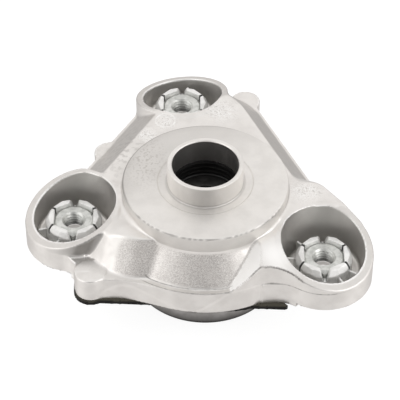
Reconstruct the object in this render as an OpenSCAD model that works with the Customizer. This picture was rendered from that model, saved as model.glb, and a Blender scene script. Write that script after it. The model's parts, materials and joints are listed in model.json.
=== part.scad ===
// Strut mount: a die-cast three-lobed housing with caged captive nuts, and a bonded rubber bush
// that a riveted steel plate holds in the hub. It is drawn with the strut side up.
// Millimetres. The origin is on the hub axis, in the plane of the three mounting pads.

/* [Hub] */
// Diameter of the raised disc that the thrust bearing sits on
disc_d = 74; // [72:0.5:76]
// Height of the disc face above the mounting pads
disc_h = 30.4; // [29:0.1:32]
// Outside diameter of the neck that centres the thrust bearing
neck_d = 33.8; // [33:0.1:36]
// Height of the neck above the disc face
neck_h = 10.4; // [8:0.1:15]
// Bore of the neck
neck_bore_d = 29.6; // [28:0.1:30.4]
// Diameter of the shallow turned recess around the neck
recess_d = 43; // [41:0.5:50]
// Height of the disc's upright edge above the hub cone
disc_edge_h = 9.9; // [8:0.1:11]
// Thickness of the hub's roof over the bush
roof_t = 11.4; // [10.6:0.1:12.4]
// Diameter of the hub cone at the flange
cone_foot_d = 96; // [92:0.5:98]
// Diameter of the hub's upright skirt
skirt_d = 100.8; // [99.5:0.1:102]
// Edge rounding of the disc
disc_round = 1.6; // [0.8:0.1:3]

/* [Triangular body] */
// Height of the plateau between the lobes
plateau_h = 23.4; // [22:0.1:24.5]
// Height of the flange around the body
flange_h = 10; // [8:0.1:12]
// Depth of the flange below the mounting pads
flange_drop = 1.4; // [0.8:0.1:2.4]
// Distance from the hub axis to the plateau's left edge
left_edge = 46; // [44.5:0.1:47.5]
// Width of the sloping left side, seen from above
left_run = 15; // [13.5:0.1:16.5]
// Distance from the hub axis to the plateau's right edge
right_edge = 40.1; // [39:0.1:41.5]
// Width of the sloping right side, seen from above
right_run = 11.4; // [10.5:0.1:13]
// Distance from the hub axis to the plateau's front edge
front_edge = 29.6; // [28.5:0.1:31]
// Width of the sloping front, seen from above
front_run = 10.7; // [9.7:0.1:12]
// Width of the sloping corner in front of the left lobe, seen from above
left_corner_run = 10.1; // [8.5:0.1:12]
// Width of the sloping corner beside the back lobe, seen from above
back_corner_run = 12.4; // [10.5:0.1:14]
// Width of the level ledge at the foot of the sloping sides
ledge_w = 1.2; // [0.6:0.1:1.8]
// Wall thickness of the cored arms
wall = 4.5; // [3.5:0.1:6]

/* [Lobes] */
// Left lobe, distance across from the hub axis
left_x = -59; // [-60:0.1:-57]
// Left lobe, distance back from the hub axis
left_y = -5.3; // [-7:0.1:-4]
// Right lobe, distance across from the hub axis
right_x = 52.1; // [51:0.1:54]
// Right lobe, distance back from the hub axis
right_y = -28.6; // [-30:0.1:-27.5]
// Back lobe, distance across from the hub axis
back_x = -11; // [-12:0.1:-10]
// Back lobe, distance back from the hub axis
back_y = 72; // [70.5:0.1:73.5]
// Outside diameter of a lobe
lobe_d = 42.8; // [41.6:0.1:44]
// Diameter of a nut pocket at the plateau
pocket_d = 38.6; // [37.6:0.1:39.2]
// Draft of a nut pocket, in degrees
pocket_draft = 8; // [6:0.5:9]
// Thickness of a pocket's floor
floor_t = 3.4; // [2.6:0.1:4.4]
// Height of a lobe's sloping rim above the pads, on the lobe's axis
rim_h = 19; // [18:0.1:20]
// Slope of the rims, in degrees
rim_slope = 20; // [17:0.5:22]
// Radius of the blend between the hub and the right lobe
web_r = 18; // [15:0.5:24]
// Ledge on a lobe's wall at the parting line
parting_step = 0.5; // [0.2:0.1:0.8]

/* [Captive nuts] */
// Nut size across flats
nut_af = 17; // [16:0.1:17.6]
// Nut height
nut_h = 8; // [7:0.1:9]
// Bore of the nut's thread at its crests
thread_bore_d = 8.5; // [8:0.1:9]
// Clearance hole for the bolt in the pocket floor
bolt_hole_d = 11; // [10.4:0.1:12]
// Gap between a nut and its cage
nut_gap = 0.15; // [0.05:0.05:0.3]

/* [Nut cages] */
// Outside diameter of a cage
cage_d = 25.2; // [24:0.1:26.4]
// Height of the cage's fingers above the nut
finger_rise = 2.1; // [1:0.1:2.8]
// Depth of the gaps between fingers below the nut's top
notch_depth = 3; // [2:0.1:4]
// Width of the front and back gaps at the top of the fingers
notch_w = 4.2; // [3:0.1:5]
// Width of the front and back gaps at their foot
notch_foot_w = 1.6; // [1:0.1:2.4]
// Width of the four slits at the other corners of the nut
slit_w = 0.9; // [0.5:0.1:1.5]
// Thickness of the centring fins
fin_t = 1; // [0.6:0.1:1.6]
// Gap between the fins and the pocket wall
fin_gap = 0.2; // [0.1:0.05:0.4]

/* [Retaining plate] */
// Thickness of the plate
plate_t = 2.2; // [1.6:0.1:3]
// Diameter of the rivet bosses on the flange
boss_d = 14; // [13:0.1:15.4]
// Margin of the plate around a rivet boss
plate_margin = 0.6; // [0.2:0.1:1.2]
// Gap between the plate and the lobes' pads
pad_gap = 1.4; // [1:0.1:2.4]
// Least width of the plate around the bush shell
plate_ring_w = 1.5; // [1:0.1:2.4]
// Rivet shank diameter
rivet_d = 5; // [4:0.1:6]
// Length of a rivet's shank in its boss
rivet_grip = 7.5; // [5:0.1:9]
// Rivet head diameter
rivet_head_d = 8.6; // [7.6:0.1:10]
// Rivet head height
rivet_head_h = 2.1; // [1.5:0.1:2.6]

/* [Bush] */
// Outside diameter of the bush shell
shell_d = 69; // [67:0.1:69.6]
// Depth of the bush shell below the mounting pads
shell_depth = 27; // [24:0.1:29]
// Wall of the bush shell
shell_t = 1.6; // [1.2:0.1:2.2]
// Width of the shell's clamped flange beyond its wall
shell_flange_w = 2.2; // [1.6:0.1:2.4]
// Height of the rubber's lower face above the shell's bottom
rubber_inset = 6; // [4:0.1:9]
// Height of the rubber's shoulder above the shell's flange
rubber_rise = 8; // [6:0.1:10]
// Outside diameter of the rod sleeve
sleeve_d = 22; // [20:0.1:24]
// Bore of the rod sleeve
rod_bore_d = 14.2; // [12.2:0.1:16.2]
// Diameter of the rod sleeve's seat for the strut rod
seat_d = 27.6; // [26:0.1:28]
// Depth of the rod seat below the disc face
seat_drop = 9.6; // [8:0.1:10.6]
// Thickness of the rod seat
seat_t = 2.4; // [1.8:0.1:3.2]
// Height of the sleeve's lower end above the shell's bottom
sleeve_inset = 3; // [1:0.1:5]
// Depth of the rubber collar's top below the disc face
collar_drop = 1.7; // [1:0.1:2.6]
// Outside diameter of the rubber collar under the neck
collar_d = 31.8; // [31.2:0.1:32.6]
// Running gap between pieces that slip into each other
slip_gap = 0.15; // [0.1:0.05:0.3]

/* [Hidden] */
$fn = 96;

// Reach of the cutting spaces, and the small steps that keep neighbouring faces of the casting apart
reach = 150;
overcut = 0.5;
web_bite = 0.1;
seam = 0.2;

// Lobe centres, and the way each rim falls, in degrees from the X axis
left_lobe = [left_x, left_y];
right_lobe = [right_x, right_y];
back_lobe = [back_x, back_y];
LOBES = [left_lobe, right_lobe, back_lobe];
RIM_FALL = [204, -53, 107];

// Directions that the body's side faces and sloping corners look
left_side = 150;
right_side = 24.5;
front_side = -90;
left_corner = 241;
back_corner = 56;
corner_inset = 1.2;

// Right arm: its flank towards the hub cone, and the shoulder behind its lobe
flank_side = 169;
flank_edge = 32.3;
flank_run = 15.8;
shoulder_side = 83.4;
shoulder_edge = 12.3;
shoulder_run = 16;
shoulder_wall = 38;

// Heights of the seats, from the pads
neck_top = disc_h + neck_h;
flange_bottom = -flange_drop;
plate_bottom = flange_bottom - plate_t;
nut_top = floor_t + nut_h;
cone_top = disc_h - disc_edge_h;
sleeve_top = disc_h - seat_drop;
shell_bottom = -shell_depth;
sleeve_bottom = shell_bottom + sleeve_inset;
seat_bottom = sleeve_top - seat_t;
collar_top = disc_h - collar_drop;
ceiling_h = disc_h - roof_t;

// Radii that more than one piece shares
lobe_r = lobe_d / 2;
boss_r = boss_d / 2;
shell_bore_r = shell_d / 2 - shell_t;
cavity_r = shell_bore_r;
shell_flange_r = shell_d / 2 + shell_flange_w;
flange_pocket_r = shell_flange_r + slip_gap;
collar_bore_r = collar_d / 2;
arm_r = skirt_d / 2 - seam;

// Side lines of the flange, as distances from the hub axis
left_line = left_edge + left_run + ledge_w;
right_line = right_edge + right_run + ledge_w;
front_line = front_edge + front_run + ledge_w;

// Rivet bosses: in front of the left lobe, half-way along the left side, beside the back lobe
boss_inset = 3.2;
front_boss_step = 8.5;
front_boss_proud = 1.8;
left_boss_step = 12.9;
back_boss_step = 62;
BOSSES = [
    [left_x + front_boss_step, -front_line + boss_r - front_boss_proud],
    on_line(left_side, left_line - boss_inset, -left_boss_step),
    on_line(right_side, right_line - boss_inset, back_boss_step)
];

// Retaining plate: how far it shows in front of the flange, and its right corner's place under the web
plate_front = 1.2;
plate_nose = 5.5;
plate_arch = 3.4;

// Point at a distance from the hub axis along a direction, and a step to the left along that line
function on_line(direction, distance, step) =
    distance * [cos(direction), sin(direction)] + step * [-sin(direction), cos(direction)];

// Foot of the perpendicular from a point to the line at a distance from the hub axis
function foot(point, direction, distance) =
    point + (distance - point * [cos(direction), sin(direction)]) * [cos(direction), sin(direction)];

// Points of an arc about a centre
function arc(centre, radius, from, to, steps) =
    [for (i = [0:steps]) let (a = from + (to - from) * i / steps) centre + radius * [cos(a), sin(a)]];

// Centre of the circle that touches two circles, on the right of the way from the first to the second
function blend_centre(c1, r1, c2, r2, blend) =
    let (
        way = c2 - c1,
        span = norm(way),
        u = way / span,
        along = (pow(r1 + blend, 2) - pow(r2 + blend, 2) + span * span) / (2 * span),
        aside = sqrt(pow(r1 + blend, 2) - along * along)
    )
    c1 + along * u + aside * [u[1], -u[0]];

// Web between two circles whose outer edge is an arc that runs a little into both
module web(c1, r1, c2, r2, blend) {
    centre = blend_centre(c1, r1 - web_bite, c2, r2 - web_bite, blend);
    difference() {
        polygon([c1, centre, c2]);
        translate(centre) circle(r = blend);
    }
}

// Half-space behind one side face: upright at the flange, sloping to the plateau
module side_space(direction, edge, run, ledge, foot_h = flange_h) {
    rotate([0, 0, direction])
        rotate([90, 0, 0])
            linear_extrude(height = 2 * reach, center = true)
                polygon([
                    [-reach, flange_bottom], [edge + run + ledge, flange_bottom],
                    [edge + run + ledge, foot_h], [edge + run, foot_h],
                    [edge, plateau_h], [-reach, plateau_h]
                ]);
}

// Half-space behind one slope that runs on below the flange
module slope_space(direction, edge, run) {
    foot_run = run * (plateau_h + flange_drop) / (plateau_h - flange_h);
    rotate([0, 0, direction])
        rotate([90, 0, 0])
            linear_extrude(height = 2 * reach, center = true)
                polygon([
                    [-reach, flange_bottom], [edge + foot_run, flange_bottom],
                    [edge, plateau_h], [-reach, plateau_h]
                ]);
}

// Distance from the hub axis to the foot of a sloping corner, just inside its lobe's wall
function corner_foot(centre, direction) =
    centre * [cos(direction), sin(direction)] + lobe_r - corner_inset;

// Half-space behind a sloping corner, which leaves the flange as it is
module corner_space(centre, direction, run) {
    side_space(direction, corner_foot(centre, direction) - run, run, reach, flange_h + seam);
}

// Space above a lobe's sloping rim
module above_rim(i) {
    translate([LOBES[i][0], LOBES[i][1], rim_h])
        rotate([0, 0, RIM_FALL[i]])
            rotate([0, rim_slope, 0])
                translate([-reach / 2, -reach / 2, 0])
                    cube([reach, reach, reach]);
}

// Plan of the body inside its side faces, from lobe to lobe
module body_plan() {
    polygon([
        [BOSSES[0][0], -front_line], BOSSES[0], left_lobe,
        foot(left_lobe, left_side, left_line), foot(back_lobe, left_side, left_line), back_lobe,
        BOSSES[2], foot(BOSSES[2], right_side, right_line),
        foot(right_lobe, right_side, right_line), right_lobe, [0, 0], [0, -front_line]
    ]);
    circle(r = arm_r);
    web([0, 0], arm_r, right_lobe, lobe_r, web_r);
}

// Sloping-sided body between the lobes
module body_block() {
    intersection() {
        translate([0, 0, flange_bottom]) linear_extrude(height = plateau_h + flange_drop) body_plan();
        side_space(left_side, left_edge, left_run, ledge_w);
        side_space(right_side, right_edge, right_run, ledge_w);
        union() {
            side_space(front_side, front_edge, front_run, ledge_w);
            slope_space(flank_side, -flank_edge, flank_run);
        }
        corner_space(left_lobe, left_corner, left_corner_run);
        corner_space(back_lobe, back_corner, back_corner_run);
    }
}

// Shoulder behind the right lobe: an upright wall just inside the lobe's, and a slope at the back
module right_shoulder() {
    touch = right_lobe + (lobe_r - seam) * [cos(shoulder_wall), sin(shoulder_wall)];
    intersection() {
        linear_extrude(height = plateau_h - seam)
            polygon([[0, 0], right_lobe, touch, touch + reach / 3 * [-sin(shoulder_wall), cos(shoulder_wall)]]);
        slope_space(shoulder_side, shoulder_edge, shoulder_run);
    }
}

// Outside of one lobe, with the parting ledge at flange height
module lobe(centre) {
    translate(centre) {
        cylinder(h = plateau_h - seam, r = lobe_r);
        cylinder(h = flange_h + seam, r = lobe_r + parting_step);
    }
}

// Parting ledge along the web between the hub and the right lobe
module web_ledge() {
    translate([0, 0, flange_bottom])
        linear_extrude(height = flange_h + flange_drop + seam)
            web([0, 0], arm_r, right_lobe, lobe_r + parting_step, web_r - parting_step);
}

// Rivet bosses with their webs to the lobes beside them
module bosses() {
    front_web_r = 6;
    back_web_r = 10;
    for (b = BOSSES)
        translate([b[0], b[1], flange_bottom]) cylinder(h = flange_h + flange_drop + 2 * seam, r = boss_r);
    translate([0, 0, flange_bottom])
        linear_extrude(height = flange_h + flange_drop - seam) {
            web(left_lobe, lobe_r, BOSSES[0], boss_r, front_web_r);
            web(BOSSES[2], boss_r, back_lobe, lobe_r, back_web_r);
        }
}

// Turned hub: skirt, cone, disc with a rounded edge, recess and neck
module hub() {
    recess = 0.4;
    neck_fillet = 1.8;
    neck_chamfer = 0.8;
    skirt_round = 1;
    rotate_extrude()
        polygon(concat(
            [[0, flange_bottom], [skirt_d / 2, flange_bottom]],
            arc([skirt_d / 2 - skirt_round, flange_h - skirt_round], skirt_round, 0, 90, 3),
            [[cone_foot_d / 2, flange_h], [disc_d / 2, cone_top]],
            arc([disc_d / 2 - disc_round, disc_h - disc_round], disc_round, 0, 90, 4),
            [[recess_d / 2, disc_h], [recess_d / 2 - recess, disc_h - recess]],
            arc([neck_d / 2 + neck_fillet, disc_h - recess + neck_fillet], neck_fillet, 270, 180, 4),
            [[neck_d / 2, neck_top - neck_chamfer], [neck_d / 2 - neck_chamfer, neck_top], [0, neck_top]]
        ));
}

// Hub cavity: neck bore with a chamfered mouth, collar bore, bush chamber and seat of the shell's flange
module hub_cavity() {
    mouth = 0.7;
    bore_r = neck_bore_d / 2;
    rotate_extrude()
        polygon([
            [0, flange_bottom - overcut], [flange_pocket_r, flange_bottom - overcut],
            [flange_pocket_r, flange_bottom + shell_t], [cavity_r, flange_bottom + shell_t],
            [cavity_r, ceiling_h - 3], [cavity_r - 3, ceiling_h], [collar_bore_r, ceiling_h],
            [collar_bore_r, collar_top], [bore_r, collar_top], [bore_r, neck_top - mouth],
            [bore_r + mouth, neck_top], [bore_r + mouth, neck_top + overcut], [0, neck_top + overcut]
        ]);
}

// Nut pocket with draft, and the bolt hole in its floor
module pocket(centre) {
    top = plateau_h + 4;
    slope = tan(pocket_draft);
    translate(centre) {
        translate([0, 0, floor_t])
            cylinder(
                h = top - floor_t,
                r1 = pocket_d / 2 - (plateau_h - floor_t) * slope,
                r2 = pocket_d / 2 + (top - plateau_h) * slope
            );
        translate([0, 0, -overcut]) cylinder(h = floor_t + 2 * overcut, d = bolt_hole_d);
    }
}

// Cored hollows of the arms, open below and closed by the retaining plate
module arm_cores() {
    top = plateau_h - wall;
    core_front = 3.5;
    difference() {
        intersection() {
            translate([0, 0, flange_bottom - overcut]) linear_extrude(height = top + flange_drop) body_plan();
            core_space(left_side, left_edge, left_line, top);
            core_space(right_side, right_edge, right_line, top);
            translate([-reach, -core_front, flange_bottom - overcut]) cube([2 * reach, 2 * reach, reach]);
            core_corner(back_lobe, back_corner, back_corner_run, top);
        }
        translate([0, 0, flange_bottom - 2 * overcut])
            cylinder(h = plateau_h + 2 * wall, r = flange_pocket_r + wall);
        for (c = LOBES)
            translate([c[0], c[1], flange_bottom - 2 * overcut])
                cylinder(h = plateau_h + 2 * wall, r = lobe_r + wall / 2);
        for (b = BOSSES)
            translate([b[0], b[1], flange_bottom - 2 * overcut])
                cylinder(h = plateau_h + 2 * wall, r = boss_r + wall / 2);
    }
}

// Half-space of a cored hollow behind one side face, one wall inside it
module core_space(direction, edge, line, top) {
    rotate([0, 0, direction])
        rotate([90, 0, 0])
            linear_extrude(height = 2 * reach, center = true)
                polygon([
                    [-reach, flange_bottom - 2 * overcut], [line - wall, flange_bottom - 2 * overcut],
                    [line - wall, flange_h - wall], [edge - wall / 2, top], [-reach, top]
                ]);
}

// Half-space of a cored hollow behind a sloping corner
module core_corner(centre, direction, run, top) {
    corner = corner_foot(centre, direction);
    core_space(direction, corner - run, corner, top);
}

module housing() {
    color("gainsboro")
        difference() {
            union() {
                difference() {
                    union() {
                        body_block();
                        right_shoulder();
                        for (c = LOBES) lobe(c);
                        web_ledge();
                        bosses();
                    }
                    for (i = [0:2]) above_rim(i);
                }
                hub();
            }
            hub_cavity();
            for (c = LOBES) pocket(c);
            arm_cores();
            pad_relief();
            for (b = BOSSES)
                translate([b[0], b[1], flange_bottom - overcut])
                    cylinder(h = rivet_grip + overcut + slip_gap, d = rivet_d + 2 * slip_gap);
        }
}

// Space below the mounting pads, where the flange stands back from the lobes
module pad_relief() {
    for (c = LOBES)
        translate([c[0], c[1], flange_bottom - overcut])
            cylinder(h = flange_drop + overcut, r = lobe_r + parting_step);
}

// Hexagon with flats facing the X axis
module hexagon(across_flats) {
    rotate(30) circle(d = across_flats / cos(30), $fn = 6);
}

// Nut cage: a ring with a hexagonal pocket, six fingers with two bevel facets each, and centring fins
module nut_cage(centre, fin_angles) {
    cage_r = cage_d / 2;
    top = nut_top + finger_rise;
    notch_foot = nut_top - notch_depth;
    chamfer = 1.7;
    bevel_h = 2.6;
    fin_root = 1;
    fin_top = nut_top - notch_depth + fin_root;
    fin_reach = pocket_d / 2 - (plateau_h - floor_t) * tan(pocket_draft) - fin_gap;
    translate(centre)
        difference() {
            union() {
                intersection() {
                    translate([0, 0, floor_t]) cylinder(h = top - floor_t, r = cage_r);
                    translate([0, 0, floor_t - overcut])
                        cylinder(
                            h = top - floor_t + overcut,
                            r1 = (cage_r - chamfer + chamfer / bevel_h * (top - floor_t + overcut)) / cos(15),
                            r2 = (cage_r - chamfer) / cos(15),
                            $fn = 12
                        );
                }
                for (a = fin_angles)
                    rotate([0, 0, a])
                        translate([cage_r - fin_root, -fin_t / 2, floor_t + seam])
                            cube([fin_reach - cage_r + fin_root, fin_t, fin_top - floor_t - seam]);
            }
            translate([0, 0, floor_t - overcut])
                linear_extrude(height = nut_h + finger_rise + 2 * overcut) hexagon(nut_af + 2 * nut_gap);
            for (a = [90, 270]) notch(a, notch_foot_w, notch_w, notch_foot, top + overcut);
            for (a = [30, 150, 210, 330]) notch(a, slit_w, slit_w, notch_foot, top + overcut);
        }
}

// Gap between two fingers, from the foot up
module notch(angle, foot_w, top_w, foot_h, top_h) {
    rotate([0, 0, angle])
        rotate([90, 0, 90])
            linear_extrude(height = cage_d)
                polygon([[-foot_w / 2, foot_h], [foot_w / 2, foot_h], [top_w / 2, top_h], [-top_w / 2, top_h]]);
}

module nut_cage_left() {
    color("lightgray") nut_cage(left_lobe, [195, 240, 300]);
}

module nut_cage_right() {
    color("lightgray") nut_cage(right_lobe, [-60, -30, 134, 175]);
}

module nut_cage_back() {
    color("lightgray") nut_cage(back_lobe, [80, 240, 300]);
}

// Hexagon nut with its corners turned off above and below, and a countersunk thread
module nut() {
    corner_r = nut_af / 2 / cos(30);
    bevel = (corner_r - 0.95 * nut_af / 2) * tan(30);
    sink = 1;
    difference() {
        intersection() {
            translate([0, 0, floor_t]) linear_extrude(height = nut_h) hexagon(nut_af);
            rotate_extrude()
                polygon([
                    [0, floor_t], [0.95 * nut_af / 2, floor_t], [corner_r, floor_t + bevel],
                    [corner_r, nut_top - bevel], [0.95 * nut_af / 2, nut_top], [0, nut_top]
                ]);
        }
        rotate_extrude()
            polygon([
                [0, floor_t - overcut], [thread_bore_d / 2 + sink + overcut, floor_t - overcut],
                [thread_bore_d / 2, floor_t + sink], [thread_bore_d / 2, nut_top - sink],
                [thread_bore_d / 2 + sink + overcut, nut_top + overcut], [0, nut_top + overcut]
            ]);
    }
}

module captive_nuts() {
    color("silver")
        for (c = LOBES) translate(c) nut();
}

// Pressed shell: clamped flange, upright wall and a lip turned in at the bottom
module bush_shell() {
    outer_r = shell_d / 2;
    bend = 2.2;
    lip_w = 5;
    inner_bend = bend - shell_t;
    flange_top = flange_bottom + shell_t;
    color("dimgray")
        rotate_extrude()
            polygon(concat(
                [[shell_flange_r, flange_bottom], [shell_flange_r, flange_top], [shell_bore_r, flange_top]],
                [[shell_bore_r, shell_bottom + bend]],
                arc([outer_r - bend, shell_bottom + bend], inner_bend, 0, -90, 4),
                [[outer_r - bend - lip_w, shell_bottom + shell_t], [outer_r - bend - lip_w, shell_bottom]],
                arc([outer_r - bend, shell_bottom + bend], bend, -90, 0, 4),
                [[outer_r, flange_bottom]]
            ));
}

// Bonded rubber: waisted rings between the shell and the sleeve, and a ridged collar up to the neck bore
module bush_rubber() {
    sleeve_r = sleeve_d / 2;
    seat_r = seat_d / 2;
    bottom = shell_bottom + rubber_inset;
    groove_r = (sleeve_r + shell_bore_r) / 2;
    groove_top = flange_bottom - 4;
    collar_r = collar_bore_r - slip_gap;
    collar_in = neck_bore_d / 2;
    shoulder = ceiling_h - slip_gap;
    crown = flange_bottom + shell_t + rubber_rise;
    ridge = 0.5;
    ridge_pitch = (collar_top - sleeve_top) / 3;
    color([0.08, 0.08, 0.08])
        rotate_extrude()
            polygon(concat(
                [[sleeve_r, bottom], [groove_r - 4, bottom], [groove_r - 1.5, groove_top]],
                [[groove_r + 1.5, groove_top], [groove_r + 4, bottom], [shell_bore_r, bottom]],
                [[shell_bore_r, flange_bottom + shell_t], [shell_bore_r - slip_gap, flange_bottom + shell_t]],
                [[shell_bore_r - slip_gap, crown], [groove_r + 3, shoulder], [collar_r, shoulder]],
                [[collar_r, collar_top - slip_gap], [collar_in, collar_top - slip_gap]],
                [for (i = [0:2]) each [
                    [collar_in - ridge, collar_top - (i + 0.3) * ridge_pitch],
                    [collar_in, collar_top - (i + 0.7) * ridge_pitch]
                ]],
                [[seat_r, sleeve_top], [seat_r, seat_bottom], [sleeve_r, seat_bottom]]
            ));
}

// Inner sleeve with the seat for the strut rod's shoulder
module rod_sleeve() {
    edge = 0.6;
    color([0.2, 0.2, 0.2])
        difference() {
            rotate_extrude()
                polygon([
                    [0, sleeve_bottom], [sleeve_d / 2 - edge, sleeve_bottom],
                    [sleeve_d / 2, sleeve_bottom + edge], [sleeve_d / 2, seat_bottom],
                    [seat_d / 2, seat_bottom], [seat_d / 2, sleeve_top - edge],
                    [seat_d / 2 - edge, sleeve_top], [0, sleeve_top]
                ]);
            translate([0, 0, shell_bottom]) cylinder(h = shell_depth + disc_h, d = rod_bore_d);
        }
}

// Outline of the retaining plate: along the flange, rounded at the bosses, cut back round the pads
module plate_plan() {
    corner_r = boss_r + plate_margin;
    hole_r = shell_d / 2 + 2 * slip_gap;
    web_centre = blend_centre([0, 0], skirt_d / 2, right_lobe, lobe_r, web_r);
    difference() {
        union() {
            difference() {
                union() {
                    for (b = BOSSES) translate(b) circle(r = corner_r);
                    polygon([
                        [BOSSES[0][0], -front_line - plate_front], web_centre + [plate_nose, web_r - plate_arch],
                        foot(right_lobe, right_side, right_line - ledge_w),
                        foot(BOSSES[2], right_side, right_line - ledge_w),
                        BOSSES[2], back_lobe, foot(back_lobe, left_side, left_line - ledge_w),
                        foot(left_lobe, left_side, left_line - ledge_w), left_lobe, BOSSES[0] - [corner_r, 0]
                    ]);
                }
                for (c = LOBES) translate(c) circle(r = lobe_r + pad_gap);
            }
            circle(r = hole_r + plate_ring_w);
        }
        circle(r = hole_r);
        for (b = BOSSES) translate(b) circle(d = rivet_d + 2 * slip_gap);
    }
}

module retaining_plate() {
    color([0.12, 0.12, 0.12])
        translate([0, 0, plate_bottom]) linear_extrude(height = plate_t) plate_plan();
}

// Drive rivets, set from below through the plate into the bosses
module plate_rivets() {
    crown = 0.6 * rivet_head_h;
    color("gainsboro")
        for (b = BOSSES)
            translate([b[0], b[1], plate_bottom])
                rotate_extrude()
                    polygon([
                        [0, -rivet_head_h], [0.28 * rivet_head_d, -rivet_head_h],
                        [0.43 * rivet_head_d, -crown], [rivet_head_d / 2, 0], [rivet_d / 2, 0],
                        [rivet_d / 2, plate_t + rivet_grip], [0, plate_t + rivet_grip]
                    ]);
}

housing();
nut_cage_left();
nut_cage_right();
nut_cage_back();
captive_nuts();
bush_shell();
bush_rubber();
rod_sleeve();
retaining_plate();
plate_rivets();
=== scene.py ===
import json

import bpy
import numpy as np
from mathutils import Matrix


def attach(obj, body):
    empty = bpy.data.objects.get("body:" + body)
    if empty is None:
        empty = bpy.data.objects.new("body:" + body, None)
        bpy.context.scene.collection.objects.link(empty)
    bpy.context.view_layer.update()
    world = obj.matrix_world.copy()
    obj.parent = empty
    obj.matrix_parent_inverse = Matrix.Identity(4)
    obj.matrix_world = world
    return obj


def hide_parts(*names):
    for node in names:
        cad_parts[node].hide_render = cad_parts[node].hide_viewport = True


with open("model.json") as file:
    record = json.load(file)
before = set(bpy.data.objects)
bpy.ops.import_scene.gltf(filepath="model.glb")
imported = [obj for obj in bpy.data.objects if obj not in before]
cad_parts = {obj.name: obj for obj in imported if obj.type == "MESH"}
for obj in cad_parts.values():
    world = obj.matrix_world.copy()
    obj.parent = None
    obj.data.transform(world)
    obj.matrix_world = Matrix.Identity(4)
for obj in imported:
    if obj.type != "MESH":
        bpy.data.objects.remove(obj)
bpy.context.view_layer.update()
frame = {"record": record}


# Stage: a white table under a white tent that is darker on the camera's side, two softboxes, and the camera.
# The table glows and only the camera sees it, so that it stays plain white up to the part, as in a catalogue
# picture. The part mirrors the tent's lower half in its place. The camera looks down at 44 degrees.
def plug(tree, node, **inputs):
    """Set a node's inputs: a link where the value is a socket, and a plain value where it isn't."""
    for name, value in inputs.items():
        socket = node.inputs[int(name[1:])] if name[1:].isdigit() else node.inputs[name.replace("_", " ")]
        if isinstance(value, bpy.types.NodeSocket):
            tree.links.new(value, socket)
        else:
            socket.default_value = value


def add(tree, kind, settings=None, **inputs):
    """New shader node with its settings and inputs."""
    node = tree.nodes.new(kind)
    for name, value in (settings or {}).items():
        setattr(node, name, value)
    plug(tree, node, **inputs)
    return node


def lit(tree, value, low, high, start=0.0, end=1.0):
    """Smooth change from start to end as a value goes from low to high."""
    ramp = add(
        tree, "ShaderNodeMapRange", {"interpolation_type": "SMOOTHSTEP"},
        Value=value, From_Min=low, From_Max=high, To_Min=start, To_Max=end,
    )
    return ramp.outputs["Result"]


def times(tree, a, b, operation="MULTIPLY"):
    """Product of two values, or another operation on them."""
    return add(tree, "ShaderNodeMath", {"operation": operation}, i0=a, i1=b).outputs[0]


scene = bpy.context.scene
scene.view_settings.view_transform = "Standard"
tilt = np.radians(44)
camera_distance = 0.8595
ahead = np.array([0, np.cos(tilt), -np.sin(tilt)])
aim = np.array([-2.4, -5.25, 23.57]) * 0.001
camera = bpy.data.objects.new("camera", bpy.data.cameras.new("camera"))
camera.data.lens = 174.15
camera.data.clip_start = 0.05
camera.location = aim - camera_distance * ahead
camera.rotation_euler = (np.pi / 2 - tilt, 0, 0)
scene.collection.objects.link(camera)
scene.camera = camera

world = bpy.data.worlds.new("tent")
world.use_nodes = True
scene.world = world
tree = world.node_tree
way = add(tree, "ShaderNodeTexCoord").outputs["Generated"]
toward = add(tree, "ShaderNodeVectorMath", {"operation": "DOT_PRODUCT"}, i0=way, i1=-ahead).outputs["Value"]
opening = lit(tree, toward, np.cos(0.7), np.cos(0.36), 1.0, 0.25)
axes = add(tree, "ShaderNodeSeparateXYZ", None, Vector=way).outputs
low_half = lit(tree, axes["Z"], 0.3, -0.1)
low_back = times(tree, low_half, lit(tree, axes["Y"], 0.0, 0.6, 0.0, 0.42))
low_front = times(tree, low_half, lit(tree, axes["Y"], -0.3, -0.7, 0.0, 0.15))
strength = times(tree, times(tree, opening, low_back, "SUBTRACT"), low_front, "SUBTRACT")
height_share = times(tree, times(tree, axes["Z"], 0.5), 0.5, "ADD")
# Brightness by height, from -1 straight down. The ramp's own white stop is the tent's top.
tent = ((-0.97, 0.2), (-0.86, 0.6), (-0.75, 1.06), (-0.2, 1.05), (0.0, 1.03), (0.35, 1.03), (0.7, 0.95))
tint = (1.005, 0.982, 0.97)
ramp = add(tree, "ShaderNodeValToRGB", None, Fac=height_share)
for height, bright in tent:
    stop = ramp.color_ramp.elements.new(height / 2 + 0.5)
    stop.color = (*(bright * t for t in tint), 1)
ramp.color_ramp.elements.remove(ramp.color_ramp.elements[0])
plug(tree, tree.nodes["Background"], Color=ramp.outputs["Color"], Strength=strength)

table_half, table_z = 3.0, -0.027
corners = [(i * table_half, j * table_half, table_z) for i, j in ((-1, -1), (1, -1), (1, 1), (-1, 1))]
table = bpy.data.meshes.new("table")
table.from_pydata(corners, [], [(0, 1, 2, 3)])
white = bpy.data.materials.new("table")
white.use_nodes = True
plug(
    white.node_tree, white.node_tree.nodes["Principled BSDF"], Base_Color=(0.2, 0.2, 0.2, 1), Roughness=0.9,
    Specular_IOR_Level=0.1, Emission_Color=(1, 1, 1, 1), Emission_Strength=0.9,
)
table.materials.append(white)
floor = bpy.data.objects.new("table", table)
floor.visible_glossy = floor.visible_diffuse = False
scene.collection.objects.link(floor)

softbox_size = 0.8
for name, place, power in (
    ("softbox_left", (-0.72, -0.46, 0.62), 1.8),
    ("softbox_right", (0.74, -0.46, 0.60), 2.7),
):
    light = bpy.data.lights.new(name, "AREA")
    light.size = softbox_size
    light.energy = power
    lamp = bpy.data.objects.new(name, light)
    lamp.location = place
    away = np.array(place) - aim
    lamp.rotation_euler = (np.arctan2(np.hypot(away[0], away[1]), away[2]), 0, np.arctan2(away[0], -away[1]))
    scene.collection.objects.link(lamp)


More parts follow.
